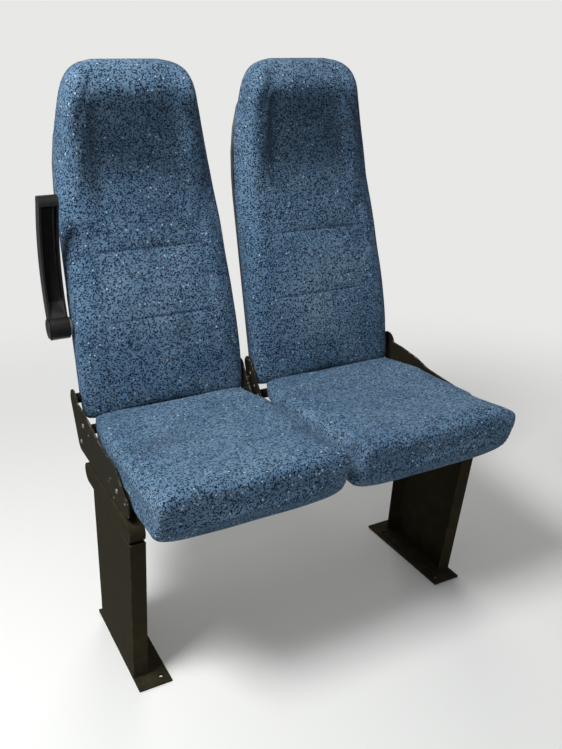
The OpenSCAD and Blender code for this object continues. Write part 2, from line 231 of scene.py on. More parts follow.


# %% [markdown]
# ### Speckled pile
# The upholstery is a short woven plush. Its ground is a greyed blue, broken by dark navy flecks a few
# millimetres wide, with a pale or ochre loop here and there. It could be painted on an unwrapped mesh,
# but the pads have no good seams to unwrap at. So both kinds of fleck are cells of a solid Voronoi
# pattern that are picked at random, and a noise bends the pattern first, so that no fleck is round. A
# much finer Voronoi gives the pile itself. One input lightens the cloth, for rubbed pile and as a
# painted highlight, and another darkens it, for grease and as painted shade.

# %% Group: speckled pile
tree, given, out = group(
    "speckled_pile",
    [
        ("Vector", "Vector", None),
        ("Ground", "Color", rgb(104, 138, 166)),
        ("Dark", "Color", rgb(15, 28, 52)),
        ("Pale", "Color", rgb(198, 216, 224)),
        ("Fleck Size", "Float", 0.0036),
        ("Dark Share", "Float", 0.66),
        ("Rub", "Float", 0.0),
        ("Grease", "Float", 0.0),
    ],
    [("Color", "Color"), ("Roughness", "Float"), ("Height", "Float")],
)
cell_scale = math_node(tree, "DIVIDE", 1.0, given["Fleck Size"])
stir = node(tree, "ShaderNodeTexNoise", {"Vector": given["Vector"], "Scale": cell_scale, "Detail": 2.0})
centred = node(
    tree, "ShaderNodeVectorMath", {0: stir.outputs["Color"], 1: (0.5, 0.5, 0.5)}, operation="SUBTRACT"
)
reach = times(tree, given["Fleck Size"], 1.3)
shift = node(tree, "ShaderNodeVectorMath", {0: centred.outputs[0], "Scale": reach}, operation="SCALE")
bent = node(
    tree, "ShaderNodeVectorMath", {0: given["Vector"], 1: shift.outputs[0]}, operation="ADD"
).outputs[0]
cells = node(tree, "ShaderNodeTexVoronoi", {"Vector": bent, "Scale": cell_scale})
picked = node(tree, "ShaderNodeSeparateColor", {0: cells.outputs["Color"]})
share = times(tree, given["Dark Share"], scaled(tree, given["Rub"], -0.3, 1.0))
is_dark = remap(tree, picked.outputs[0], share, math_node(tree, "ADD", share, 0.02), 1.0, 0.0)
dark = times(tree, is_dark, remap(tree, cells.outputs["Distance"], 0.46, 0.62, 1.0, 0.0))
tufts = node(tree, "ShaderNodeTexVoronoi", {"Vector": bent, "Scale": times(tree, cell_scale, 0.54)})
chosen = node(tree, "ShaderNodeSeparateColor", {0: tufts.outputs["Color"]})
is_pale = remap(tree, chosen.outputs[1], 0.940, 0.950)
pale = times(tree, is_pale, remap(tree, tufts.outputs["Distance"], 0.22, 0.42, 1.0, 0.0))
pile = node(
    tree, "ShaderNodeTexVoronoi",
    {"Vector": given["Vector"], "Scale": math_node(tree, "DIVIDE", 4.0, given["Fleck Size"])},
)
tuft = remap(tree, pile.outputs["Distance"], 0.0, 0.75, 1.0, 0.0)
heather = noise_node(tree, given["Vector"], math_node(tree, "DIVIDE", 1.4, given["Fleck Size"]), 2.0, 0.6)
ground = mix_color(tree, remap(tree, heather, 0.36, 0.64), given["Ground"], rgb(70, 95, 122))
faded = noise_node(tree, given["Vector"], 9.0, 3.0, 0.55)
fade = remap(tree, faded, 0.35, 0.68, -0.06, 0.16)
# The lightening input pales the ground: partly rubbed pile and partly a painted highlight.
ground = mix_color(tree, math_node(tree, "ADD", fade, given["Rub"], clamp=True), ground, rgb(140, 166, 186))
soiled = mix_color(tree, remap(tree, faded, 0.30, 0.44, 0.35, 0.0), ground, rgb(74, 88, 100))
flecked = mix_color(tree, dark, soiled, given["Dark"])
loop_tint = mix_color(tree, remap(tree, chosen.outputs[2], 0.84, 0.86), given["Pale"], rgb(186, 178, 142))
looped = mix_color(tree, times(tree, pale, 0.85), flecked, loop_tint)
# The darkening input dims the cloth: partly grease and partly painted shade.
kept = scaled(tree, given["Grease"], -0.68, 1.0)
shade = times(tree, scaled(tree, tuft, 0.42, 0.72), kept)
shaded = node(tree, "ShaderNodeVectorMath", {0: looped, "Scale": shade}, operation="SCALE").outputs[0]
tree.links.new(shaded, out["Color"])
tree.links.new(scaled(tree, tuft, -0.10, 0.92), out["Roughness"])
tree.links.new(scaled(tree, dark, -0.25, tuft), out["Height"])
SPECKLED_PILE = tree
print("group", tree.name, len(tree.nodes), "nodes")

# %% [markdown]
# ### Dust and edge wear
# Dust lies on upward faces and thickens towards the floor, broken by a soft noise. Paint wears where
# feet and bags rub it: on the rounded edges, in short scuffs and in small chips. Blender can find edges
# by Pointiness, but that needs close vertices and covers whole faces of sheet metal. The bevel knows
# its own faces, so they carry an attribute and the group reads that as Edge.

# %% Group: dust
tree, given, out = group(
    "settled_dust",
    [
        ("Vector", "Vector", None),
        ("Clean", "Color", rgb(80, 80, 80)),
        ("Dust", "Color", rgb(150, 142, 126)),
        ("Amount", "Float", 0.5),
        ("Floor Reach", "Float", 0.25),
    ],
    [("Color", "Color"), ("Mask", "Float")],
)
share = math_node(tree, "DIVIDE", split(tree, given["Vector"], "Z"), given["Floor Reach"])
low_down = math_node(tree, "SUBTRACT", 1.0, share, clamp=True)
on_top = remap(tree, facing_up(tree), 0.35, 1.0)
cloud = remap(tree, noise_node(tree, given["Vector"], 22.0, 5.0, 0.62), 0.34, 0.70)
speck = remap(tree, noise_node(tree, given["Vector"], 420.0, 2.0), 0.50, 0.72)
lying = math_node(tree, "MAXIMUM", times(tree, low_down, 0.8), times(tree, on_top, 0.9))
mask = times(tree, scaled(tree, lying, 0.85, 0.16), scaled(tree, speck, 0.35, cloud))
mask = times(tree, mask, given["Amount"], clamp=True)
tree.links.new(mask, out["Mask"])
tree.links.new(mix_color(tree, mask, given["Clean"], given["Dust"]), out["Color"])
SETTLED_DUST = tree

# %% Group: edge wear
tree, given, out = group(
    "edge_wear",
    [
        ("Vector", "Vector", None),
        ("Paint", "Color", rgb(80, 80, 80)),
        ("Under", "Color", rgb(120, 118, 112)),
        ("Edge", "Float", 0.0),
        ("Edge Amount", "Float", 0.7),
        ("Scuff Amount", "Float", 0.3),
        ("Chip Amount", "Float", 0.0),
    ],
    [("Color", "Color"), ("Mask", "Float")],
)
patchy = noise_node(tree, given["Vector"], 55.0, 5.0, 0.65)
edge = times(tree, remap(tree, patchy, 0.46, 0.58), given["Edge"])
stretched = node(tree, "ShaderNodeMapping", {"Vector": given["Vector"], "Scale": (40.0, 14.0, 160.0)})
scratch = remap(tree, noise_node(tree, stretched.outputs[0], 1.0, 4.0, 0.7), 0.66, 0.72)
where = remap(tree, noise_node(tree, given["Vector"], 7.0, 2.0), 0.48, 0.62)
scuff = times(tree, scratch, where)
chips = node(tree, "ShaderNodeTexVoronoi", {"Vector": given["Vector"], "Scale": 88.0})
chip_pick = node(tree, "ShaderNodeSeparateColor", {0: chips.outputs["Color"]}).outputs[0]
chip_size = scaled(tree, chip_pick, 2.4, -2.05)
chip = remap(tree, math_node(tree, "SUBTRACT", chip_size, chips.outputs["Distance"]), 0.0, 0.03)
mask = math_node(
    tree, "MAXIMUM", times(tree, edge, given["Edge Amount"]), times(tree, scuff, given["Scuff Amount"])
)
mask = math_node(tree, "MAXIMUM", mask, times(tree, chip, given["Chip Amount"]))
tree.links.new(mask, out["Mask"])
tree.links.new(mix_color(tree, mask, given["Paint"], given["Under"]), out["Color"])
EDGE_WEAR = tree

# %% [markdown]
# ### Fine grain
# Powder coat has an orange peel and moulded plastic a leather grain. Modelled, they would cost millions
# of faces. A smooth Voronoi with a slow wave under it gives the height for a bump, and a wide cloud
# tells the material where hands have been.

# %% Group: fine grain
tree, given, out = group(
    "fine_grain",
    [
        ("Vector", "Vector", None),
        ("Grain Size", "Float", 0.0012),
        ("Unevenness", "Float", 0.3),
    ],
    [("Height", "Float"), ("Cloud", "Float")],
)
leather = node(
    tree, "ShaderNodeTexVoronoi",
    {"Vector": given["Vector"], "Scale": math_node(tree, "DIVIDE", 1.0, given["Grain Size"])},
    feature="SMOOTH_F1",
)
cloud = noise_node(tree, given["Vector"], 12.0, 4.0, 0.6)
wave = times(tree, noise_node(tree, given["Vector"], 60.0, 2.0), given["Unevenness"])
tree.links.new(scaled(tree, leather.outputs["Distance"], 0.6, wave), out["Height"])
tree.links.new(cloud, out["Cloud"])
FINE_GRAIN = tree
print("groups", SETTLED_DUST.name, EDGE_WEAR.name, FINE_GRAIN.name)

# %% [markdown]
# ## Finishes
# Each finish is one Principled shader. What is the same all over, such as sheen or metallic, is set on
# the shader's own sockets. What changes over the surface comes from the groups.

# %% Material helpers


def new_material(name, **constants):
    """A material with its Principled shader, whose named sockets take constant values."""
    material = bpy.data.materials.new(name)
    material.use_nodes = True
    tree = material.node_tree
    shader = tree.nodes["Principled BSDF"]
    for key, value in constants.items():
        shader.inputs[key.replace("_", " ")].default_value = value
    where = tree.nodes.new("ShaderNodeTexCoord").outputs["Object"]
    return material, tree, shader.inputs, where


def use_group(tree, made, where, **values):
    """Places a shader group and sets its inputs, whose names are written with underscores."""
    links = {key.replace("_", " "): value for key, value in values.items()}
    return node(tree, "ShaderNodeGroup", {"Vector": where, **links}, node_tree=made).outputs


def bump(tree, height, distance, strength):
    links = {"Height": height, "Distance": distance, "Strength": strength}
    return node(tree, "ShaderNodeBump", links).outputs[0]


# %% [markdown]
# ### Upholstery and its thread
# Plush scatters light at grazing angles and hardly mirrors anything, so the shader has some sheen and
# little specular. The thread is a darker blue with a faint twist.

# %% Upholstery
UPHOLSTERY, tree, shader, where = new_material(
    "speckled_upholstery", Sheen_Weight=0.16, Sheen_Roughness=0.45, Sheen_Tint=rgb(140, 176, 212),
    Specular_IOR_Level=0.1,
)
# The pads pass two values: paler places, partly rubbed pile and partly painted highlight, and darker places,
# partly grease and partly painted shade.
cloth = use_group(
    tree, SPECKLED_PILE, where, Rub=stored_value(tree, "rub"), Grease=stored_value(tree, "grease")
)
tree.links.new(cloth["Color"], shader["Base Color"])
tree.links.new(cloth["Roughness"], shader["Roughness"])
tree.links.new(bump(tree, cloth["Height"], 0.0007, 0.8), shader["Normal"])

# %% Seam thread
THREAD, tree, shader, where = new_material("seam_thread", Specular_IOR_Level=0.3, Sheen_Weight=0.2)
twist = noise_node(tree, where, 900.0, 1.0)
tree.links.new(mix_color(tree, twist, rgb(30, 44, 70), rgb(58, 78, 110)), shader["Base Color"])
tree.links.new(remap(tree, twist, 0.3, 0.7, 0.7, 0.85), shader["Roughness"])

# %% [markdown]
# ### Painted steel
# The legs are taupe, the tubes black and the side plates a dark brown that is chipped down to the pale
# primer. One function makes all three: colours, dust and wear differ, the build-up is the same.

# %% Painted steel


def painted_steel(
    name, paint, under, dust, amount, reach, gloss, edge=0.7, scuffs=0.35, chips=0.0, specular=0.05
):
    """Powder coat with a faint orange peel, worn edges, scuffs and settled dust."""
    material, tree, shader, where = new_material(name, Specular_IOR_Level=specular)
    grain = use_group(tree, FINE_GRAIN, where, Grain_Size=0.0009, Unevenness=0.5)
    paler_parts = use_group(
        tree, EDGE_WEAR, where, Paint=paint, Under=under, Edge=stored_value(tree, "edge"), Edge_Amount=edge,
        Scuff_Amount=scuffs, Chip_Amount=chips,
    )
    dusty = use_group(
        tree, SETTLED_DUST, where, Clean=paler_parts["Color"], Dust=dust, Amount=amount, Floor_Reach=reach
    )
    mottling = remap(tree, grain["Cloud"], 0.3, 0.7, 0.0, 0.22)
    tree.links.new(mix_color(tree, mottling, dusty["Color"], rgb(30, 29, 26)), shader["Base Color"])
    rough = scaled(tree, dusty["Mask"], 0.35, gloss)
    tree.links.new(scaled(tree, paler_parts["Mask"], -0.08, rough), shader["Roughness"])
    tree.links.new(bump(tree, grain["Height"], 0.00018, 0.55), shader["Normal"])
    return material


LEG_PAINT = painted_steel(
    "taupe_powder_coat", rgb(41, 37, 26), rgb(70, 64, 48), rgb(72, 66, 49), 0.35, 0.26, 0.66, specular=0.01
)
FRAME_PAINT = painted_steel(
    "black_frame_paint", rgb(20, 20, 20), rgb(60, 58, 54), rgb(66, 62, 54), 0.25, 0.30, 0.5
)
# The pale edges of the side plates are partly chipped paint and partly a painted highlight along the edges.
PLATE_PAINT = painted_steel(
    "dark_plate_paint", rgb(36, 32, 24), rgb(186, 182, 168), rgb(66, 60, 46), 0.35, 0.30, 0.62,
    edge=0.34, scuffs=0.5, chips=1.0, specular=0.02,
)

# %% [markdown]
# ### Plastics
# The shells are thick grey mouldings with a coarse grain that bags have scuffed. The armrest has a
# black skin with a finer grain, polished a little by hands.

# %% Plastics


def grained_plastic(name, colour, pale, grain_size, depth, gloss, scuffs, specular=0.5):
    """Moulded plastic with a fine leather grain, cloudy handling marks and pale scuffs."""
    material, tree, shader, where = new_material(name, Specular_IOR_Level=specular)
    grain = use_group(tree, FINE_GRAIN, where, Grain_Size=grain_size, Unevenness=0.15)
    paler_parts = use_group(
        tree, EDGE_WEAR, where, Paint=colour, Under=pale, Edge=stored_value(tree, "edge"), Edge_Amount=0.45,
        Scuff_Amount=scuffs,
    )
    handled = remap(tree, grain["Cloud"], 0.35, 0.65)
    tree.links.new(mix_color(tree, times(tree, handled, 0.25), paler_parts["Color"], pale), shader["Base Color"])
    tree.links.new(scaled(tree, handled, 0.14, gloss), shader["Roughness"])
    tree.links.new(bump(tree, grain["Height"], depth, 0.7), shader["Normal"])
    return material


SHELL_PLASTIC = grained_plastic(
    "grained_shell", rgb(54, 55, 58), rgb(84, 84, 86), 0.0016, 0.00030, 0.50, scuffs=0.5
)
ARM_PLASTIC = grained_plastic(
    "moulded_arm_skin", rgb(12, 12, 12), rgb(38, 35, 31), 0.0011, 0.00010, 0.36, scuffs=0.2, specular=0.3
)

# %% [markdown]
# ### Steel and plywood
# The armrest's boss and pin are turned steel: rings around their axis show as fine lines across it. The
# screws are zinc plated and a little spotted. The boards under the cushions are stained plywood, whose
# layers show only where a face stands upright, so the stripes are masked by the surface's direction.

# %% Bare steel
BARE_STEEL, tree, shader, where = new_material("turned_steel", Metallic=1.0)
turned = node(tree, "ShaderNodeMapping", {"Vector": where, "Scale": (900.0, 60.0, 60.0)}).outputs[0]
lines = noise_node(tree, turned, 1.0, 2.0)
tree.links.new(mix_color(tree, lines, rgb(120, 119, 117), rgb(168, 167, 164)), shader["Base Color"])
tree.links.new(remap(tree, lines, 0.3, 0.7, 0.28, 0.45), shader["Roughness"])

ZINC, tree, shader, where = new_material("zinc_screw", Metallic=0.9)
spots = noise_node(tree, where, 260.0, 3.0)
tree.links.new(mix_color(tree, spots, rgb(104, 101, 92), rgb(160, 156, 146)), shader["Base Color"])
tree.links.new(remap(tree, spots, 0.3, 0.7, 0.34, 0.55), shader["Roughness"])

# %% Plywood
PLYWOOD, tree, shader, where = new_material("stained_plywood", Specular_IOR_Level=0.15)
along = node(tree, "ShaderNodeMapping", {"Vector": where, "Scale": (3.0, 46.0, 20.0)}).outputs[0]
fibres = noise_node(tree, along, 1.6, 6.0, 0.6)
layers = math_node(tree, "SINE", times(tree, split(tree, where, "Z"), 3100.0))
edge_on = remap(tree, math_node(tree, "ABSOLUTE", facing_up(tree)), 0.2, 0.5, 1.0, 0.0)
wood = mix_color(tree, remap(tree, fibres, 0.3, 0.7), rgb(52, 43, 32), rgb(74, 62, 46))
striped = times(tree, edge_on, remap(tree, layers, -0.2, 0.2, 0.0, 0.6))
tree.links.new(mix_color(tree, striped, wood, rgb(36, 28, 20)), shader["Base Color"])
tree.links.new(remap(tree, fibres, 0.3, 0.7, 0.62, 0.78), shader["Roughness"])
tree.links.new(bump(tree, fibres, 0.0003, 0.4), shader["Normal"])
print("materials", [m.name for m in bpy.data.materials])

# %% [markdown]
# ## The form of the padding
# A backrest is a row of cross sections that run up its lean, each a squarish ring that is narrower in
# front than behind, and whose front bows out into a wing at each side of the head. A cushion is a row
# of such rings from its rolled front edge to its rear. The tables hold only what changes from section
# to section, in millimetres or shares, and a smooth curve through each column fills the rest.

# %% Sizes of the padding, in millimetres
cushion_low, cushion_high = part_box("cushion_window")
SEAT_X = (cushion_low.x + cushion_high.x) / 2
BACK_W, BACK_LEN, BACK_PAD, WING_OUT = 432, 815, 75, 36
BACK_LEAN = math.radians(11.3)
BACK_FOOT = (190, 564)
CUSHION_W, CUSHION_REAR_W = 454, 404
CUSHION_FRONT_Y = round(cushion_low.y / MM, 1)
CUSHION_D = round(cushion_high.y / MM - CUSHION_FRONT_Y, 1)
CUSHION_REAR_Z, CUSHION_RISE, CROWN = 564, 30, 6
BOARD_TOP_Z = round(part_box("cushion_board_window")[1].z / MM, 1)
SKIRT_Y = 172

# Columns: share of the length, front width, rear width, front face, trim of the rear, wing
BACK_SECTIONS = np.array([
    [-0.029, 0.950, 0.960, 14, 4, 0],
    [-0.015, 0.985, 0.990, 4, 0, 0],
    [0.060, 1.000, 1.000, -2, 0, 0],
    [0.160, 0.985, 1.000, -10, 0, 0.05],
    [0.270, 0.960, 1.000, -12, 0, 0.08],
    [0.390, 0.920, 1.000, -7, 0, 0.08],
    [0.520, 0.882, 1.000, -2, 0, 0.08],
    [0.590, 0.842, 0.998, 4, 0, 0.20],
    [0.650, 0.803, 0.990, 9, 0, 0.62],
    [0.725, 0.772, 0.965, 12, 0, 1],
    [0.800, 0.756, 0.912, 9, 0, 1],
    [0.865, 0.745, 0.832, 0, 0, 0.90],
    [0.918, 0.722, 0.765, -13, 0, 0.60],
    [0.951, 0.685, 0.702, -14, 2, 0.28],
    [0.976, 0.612, 0.630, -5, 7, 0.06],
    [0.992, 0.505, 0.530, 10, 15, 0],
    [1.000, 0.385, 0.410, 25, 28, 0],
])
# Columns: place from the front edge, width share, share of the rear width, rise of the underside,
# drop of the top, dish of the top
CUSHION_SECTIONS = np.array([
    [0, 0.925, 0, 50, 16, 0],
    [7, 0.962, 0, 24, 7, 1],
    [24, 0.985, 0, -12, 2, 3],
    [44, 0.996, 0, -38, 0, 4],
    [60, 1, 0, -47, 0, 5],
    [100, 1, 0, -43, 0, 7],
    [169, 1, 0, -36, 1, 10],
    [172, 1, 0, 0, 1, 10],
    [300, 1, 0, 0, 1, 12],
    [375, 1, 0, 0, 0, 10],
    [448, 1, 0.57, 0, 0, 8],
    [500, 1, 1, 0, 1, 6],
    [510, 0.989, 1, 27, 3, 4],
    [517, 0.973, 1, 45, 8, 2],
])

# %% Rings through the sections


def read_between(rows, places):
    """Each column of a table as a smooth curve over its first column, read at the given places."""
    at, values = rows[:, 0], rows[:, 1:]
    steps = np.diff(at)[:, None]
    slopes = np.diff(values, axis=0) / steps
    before, after = slopes[:-1], slopes[1:]
    together = before * after > 0
    total = np.where(together, before + after, 1.0)
    tangents = np.vstack([slopes[:1], np.where(together, 2 * before * after / total, 0.0), slopes[-1:]])
    k = np.clip(np.searchsorted(at, places, side="right") - 1, 0, len(at) - 2)
    h = steps[k]
    f = ((places - at[k])[:, None]) / h
    return (
        values[k] * (1 + 2 * f) * (1 - f) ** 2 + tangents[k] * h * f * (1 - f) ** 2
        + values[k + 1] * f * f * (3 - 2 * f) + tangents[k + 1] * h * f * f * (f - 1)
    )


def unit_ring(high, low, steps):
    """Points of a superellipse, squarer as its exponents grow: one for each half of the ring."""
    angle = (np.arange(steps) + 0.5) * 2 * math.pi / steps
    cos, sin = np.cos(angle), np.sin(angle)
    power = 2 / np.where(sin > 0, high, low)
    return np.sign(cos) * abs(cos) ** power, np.sign(sin) * abs(sin) ** power


def back_points(x, s, t):
    """Points of a backrest in metres: x across, s up its lean, t from its front to the rear."""
    y = BACK_FOOT[0] + s * math.sin(BACK_LEAN) + t * math.cos(BACK_LEAN)
    z = BACK_FOOT[1] + s * math.cos(BACK_LEAN) - t * math.sin(BACK_LEAN)
    return np.stack(np.broadcast_arrays(x, y, z), axis=-1) * MM


def back_places(points):
    """The s and t of points of a backrest, in millimetres."""
    y, z = points[:, 1] / MM - BACK_FOOT[0], points[:, 2] / MM - BACK_FOOT[1]
    sin, cos = math.sin(BACK_LEAN), math.cos(BACK_LEAN)
    return y * sin + z * cos, y * cos - z * sin


def back_rings(count=110, steps=150):
    shares = np.linspace(BACK_SECTIONS[0, 0], BACK_SECTIONS[-1, 0], count)
    rows = read_between(BACK_SECTIONS, shares)
    across, front = unit_ring(4.6, 5.0, steps)
    rings = []
    for share, (front_w, rear_w, face, trim, wing) in zip(shares, rows):
        rear = BACK_PAD - trim
        half = BACK_W / 2 * (front_w * (1 + front) + rear_w * (1 - front)) / 2
        side = ease((abs(across) - 0.56) / 0.34)
        t = (face + rear) / 2 - (rear - face) / 2 * front - WING_OUT * wing * side * np.maximum(0, front)
        rings.append(back_points(half * across, BACK_LEN * share, t))
    return rings


def cushion_rings(count=90, steps=150):
    places = np.linspace(0, CUSHION_D, count)
    rows = read_between(CUSHION_SECTIONS, places)
    rings = []
    for place, (share, rear_share, rise, drop, dish) in zip(places, rows):
        across, up = unit_ring(5.0, 5.0 if place < SKIRT_Y else 9.0, steps)
        crest = CUSHION_REAR_Z + CUSHION_RISE * (1 - place / CUSHION_D)
        low, high = BOARD_TOP_Z + rise + 0.4, crest - drop + CROWN
        width = share * (CUSHION_W * (1 - rear_share) + CUSHION_REAR_W * rear_share)
        z = (low + high) / 2 + (high - low) / 2 * up - dish * (1 - across**2) * np.maximum(0, up)
        ring = np.stack([width / 2 * across, np.full(steps, CUSHION_FRONT_Y + place), z], axis=-1)
        rings.append(ring * MM)
    return rings


def skin(rings, steps):
    """Faces between neighbouring rings of so many points each, and one over either end."""
    faces = []
    for k in range(rings - 1):
        for i in range(steps):
            j = (i + 1) % steps
            faces.append((k * steps + i, k * steps + j, (k + 1) * steps + j, (k + 1) * steps + i))
    faces.append(tuple(reversed(range(steps))))
    faces.append(tuple((rings - 1) * steps + i for i in range(steps)))
    return faces


def loft(name, rings):
    """A closed mesh through rings that have the same number of points."""
    mesh = mesh_from(name, np.vstack(rings), skin(len(rings), len(rings[0])))
    shape = bmesh.new()
    shape.from_mesh(mesh)
    bmesh.ops.recalc_face_normals(shape, faces=shape.faces)
    shape.to_mesh(mesh)
    shape.free()
    return mesh


print("seats lie", round(SEAT_X, 3), "m from the middle")

# %% [markdown]
# ## Inflating the covers
# A real cover is cut a little small and pulled over foam, so it crowns between the places where it is
# held. It could be sculpted, but cloth with pressure does the same by itself: the form is remeshed to
# even squares, the held places are pinned, and the rest swells for twenty frames. How far a point may
# move is capped, because the foam keeps its form.

# %% Inflate
VOXEL = 6.4 * MM
SLACK = 2.5 * MM
SWELL_FRAMES = 20


def remesh(piece, voxel):
    modifier = piece.modifiers.new("even_squares", "REMESH")
    modifier.mode = "VOXEL"
    modifier.voxel_size = voxel
    return bake_modifiers(piece)


def relax(mesh, rounds):
    """Evens out the small steps that remeshing leaves."""
    shape = bmesh.new()
    shape.from_mesh(mesh)
    for _ in range(rounds):
        bmesh.ops.smooth_vert(
            shape, verts=shape.verts, factor=0.5, use_axis_x=True, use_axis_y=True, use_axis_z=True
        )
    shape.to_mesh(mesh)
    shape.free()


def inflate(piece, held, pressure, most):
    """Swells the piece as cloth. held is a weight for each point, and most caps how far it may move."""
    start = points_of(piece.data)
    pins = piece.vertex_groups.new(name="held")
    for index in np.nonzero(held > 0)[0]:
        pins.add([int(index)], float(held[index]), "REPLACE")
    cloth = piece.modifiers.new("cover", "CLOTH")
    cloth.point_cache.frame_end = SWELL_FRAMES
    settings = cloth.settings
    settings.quality = 5
    settings.mass = 0.3
    settings.tension_stiffness = settings.compression_stiffness = 25
    settings.shear_stiffness = 12
    settings.bending_stiffness = 2
    settings.use_pressure = True
    settings.uniform_pressure_force = pressure
    settings.vertex_group_mass = "held"
    settings.effector_weights.gravity = 0
    cloth.collision_settings.use_collision = False
    cloth.collision_settings.use_self_collision = False
    for frame_number in range(1, SWELL_FRAMES + 1):
        scene.frame_set(frame_number)
    bake_modifiers(piece)
    moved = points_of(piece.data) - start
    length = np.linalg.norm(moved, axis=1, keepdims=True)
    limit = np.minimum(1.0, most / np.maximum(length, 1e-9))
    set_points(piece.data, start + moved * limit)
    scene.frame_set(1)
    piece.vertex_groups.clear()
    return float((length * limit).mean() / MM)


def subdivide(piece):
    modifier = piece.modifiers.new("round", "SUBSURF")
    modifier.levels = modifier.render_levels = 1
    return bake_modifiers(piece)


def soft_shape(name, rings, held_at, pressure, most):
    """The inflated pad about its own middle line, as a mesh object at the origin."""
    pad = remesh(put_in_scene(name, loft(name, rings)), VOXEL)
    relax(pad.data, 2)
    set_points(pad.data, points_of(pad.data) - SLACK * normals_of(pad.data))
    held = held_at(points_of(pad.data), normals_of(pad.data))
    print(name, "swells by", round(inflate(pad, held, pressure, most), 1), "mm on average")
    relax(pad.data, 2)
    subdivide(pad)
    return pad


# %% [markdown]
# ## Backrests
# Two cross seams hold the cover down to the foam over the lumbar zone, between two upright seams that
# part the middle panel from the bolsters. They are held during the swelling and cut in sharper after
# it, because cloth this coarse can't fold as tightly as a seam. The top rim and the wings are paler,
# partly rubbed pile and partly a painted highlight, and the lower front is a little rubbed. The hollow
# between the wings is darker, partly pile darkened by heads and partly painted shade. Both are kept as
# values on the points, which the upholstery reads.

# %% Seams of a backrest
CROSS_SEAMS = (205, 372)
UPRIGHT_SEAM_X = 136
UPRIGHT_SEAM_TOP = 470
SEAM_WIDTH = 3.2
SEAM_DEPTH = 2.6
UPRIGHT_SHARE = 0.38


def seam_depth(across, s):
    """How deep the seams lie at a place of the front face, from 0 to 1."""
    inside = ease((UPRIGHT_SEAM_X + 2 - abs(across)) / 6)
    depth = np.zeros_like(s)
    for place in CROSS_SEAMS:
        depth = np.maximum(depth, inside * np.exp(-(((s - place) / SEAM_WIDTH) ** 2)))
    below_top = ease((UPRIGHT_SEAM_TOP - s) / 60)
    upright = UPRIGHT_SHARE * below_top * np.exp(-(((abs(across) - UPRIGHT_SEAM_X) / SEAM_WIDTH) ** 2))
    return np.maximum(depth, upright)


def back_held(points, normals):
    """How firmly the cover is held: fully at the rear, less over the top, the flanks and the seams."""
    s, t = back_places(points)
    rear = ease((t - 58) / 12)
    top = 0.8 * ease((s - 760) / 40)
    flank = 0.5 * ease((abs(normals[:, 0]) - 0.6) / 0.3)
    front = (t < 30) & (normals[:, 1] < 0)
    seams = np.where(front, 0.9 * (seam_depth(points[:, 0] / MM, s) > 0.25), 0.0)
    return np.maximum(np.maximum(rear, top), np.maximum(flank, seams))


def set_values(mesh, **columns):
    """Point attributes that the shaders read, each from 0 to 1."""
    for name, values in columns.items():
        layer = mesh.attributes.new(name, "FLOAT", "POINT")
        layer.data.foreach_set("value", np.clip(values, 0, 1).astype(np.float32))


def ripple(point, size, seed):
    """A slow unevenness from -1 to 1."""
    return noise.noise(Vector(point) / size + Vector((seed, 3.1 * seed, -seed)))


# %% Shape one backrest, set its rubbed places and its painted highlight and shade
# Heights up the lean, in millimetres, where the darker head hollow, partly grease and partly painted shade,
# begins, is darkest and ends
HOLLOW_LOW, HOLLOW_DARK, HOLLOW_TOP = 370, 480, 694
HOLLOW_HALF = 148
RIM_FROM = 690
LAP_AT, LAP_HALF = 250, 170
UNEVEN_MM = 0.9


def finish_back(pad, seed):
    mesh = pad.data
    points, normals = points_of(mesh), normals_of(mesh)
    s, t = back_places(points)
    across = points[:, 0] / MM
    facing = np.clip(-normals[:, 1], 0, 1)
    cut = seam_depth(across, s) * SEAM_DEPTH * (facing > 0.4)
    uneven = np.array([ripple(p, 0.075, seed) + 0.5 * ripple(p, 0.03, seed + 5) for p in points])
    lift = uneven * UNEVEN_MM * facing
    points += normals * ((lift - cut) * MM)[:, None]
    room = BACK_W / 2 + 0.6
    points[:, 0] = np.clip(points[:, 0], -room * MM, room * MM)
    set_points(mesh, points)
    # Paler top rim and wings: partly rubbed pile, partly a painted highlight where the lamp falls on them.
    # The lap below is rubbed pile.
    rim = ease((s - RIM_FROM) / 90) * 0.55 + ease((abs(across) - 120) / 60) * ease((s - 480) / 120) * 0.5
    lap = 0.30 * facing * np.exp(-(((s - LAP_AT) / LAP_HALF) ** 2)) * np.exp(-((across / 120) ** 2))
    rub = np.clip(rim * 0.32 + lap + 0.12 * uneven, 0, 1)
    # Darker head hollow: partly pile darkened by heads, partly painted shade under the rim and between the
    # wings.
    edge = HOLLOW_HALF - 34 * ease((s - 680) / 80)
    head = 0.35 * ease((s - HOLLOW_LOW) / 100) + 0.65 * ease((s - HOLLOW_DARK) / 110)
    head *= (1 - ease((s - HOLLOW_TOP) / 66)) * (1 - ease((abs(across) - edge) / 26))
    grease = np.clip(facing * head * (0.92 + 0.12 * uneven), 0, 1)
    set_values(mesh, rub=rub * (1 - grease), grease=grease)
    mesh.shade_smooth()


pads = {}
for side, middle in (("aisle", -SEAT_X), ("window", SEAT_X)):
    pad = soft_shape("backrest_" + side, back_rings(), back_held, 4.0, 7 * MM)
    finish_back(pad, 1.0 if side == "aisle" else 8.0)
    pad.data.transform(Matrix.Translation((middle, 0, 0)))
    pads["back_" + side] = dress(pad, UPHOLSTERY, ["back_pad_" + side])

# %% [markdown]
# ## Cushions
# The cushion is one cover pulled over a thick foam with a rolled front edge that hangs over the frame.
# At the two front corners the cloth is gathered, so a few short pleats run around each corner. The
# simulated cloth is too coarse for them, so a cosine wave presses them in. A shallow dip shows where
# people sit. The top and the sides are paler, partly rubbed pile and partly a painted highlight, and
# the lower front is darker, partly soiled by legs and bags and partly painted shade.

# %% Shape one cushion
PLEAT_STEP = 11
PLEAT_DEPTH = 1.6
DIP_DEPTH = 3.5


def cushion_held(points, normals):
    """The cover is stapled under the board and held along its rear half."""
    low = ease((-normals[:, 2] - 0.4) / 0.3)
    rear = ease((points[:, 1] / MM - 165) / 15)
    return np.maximum(low, rear)


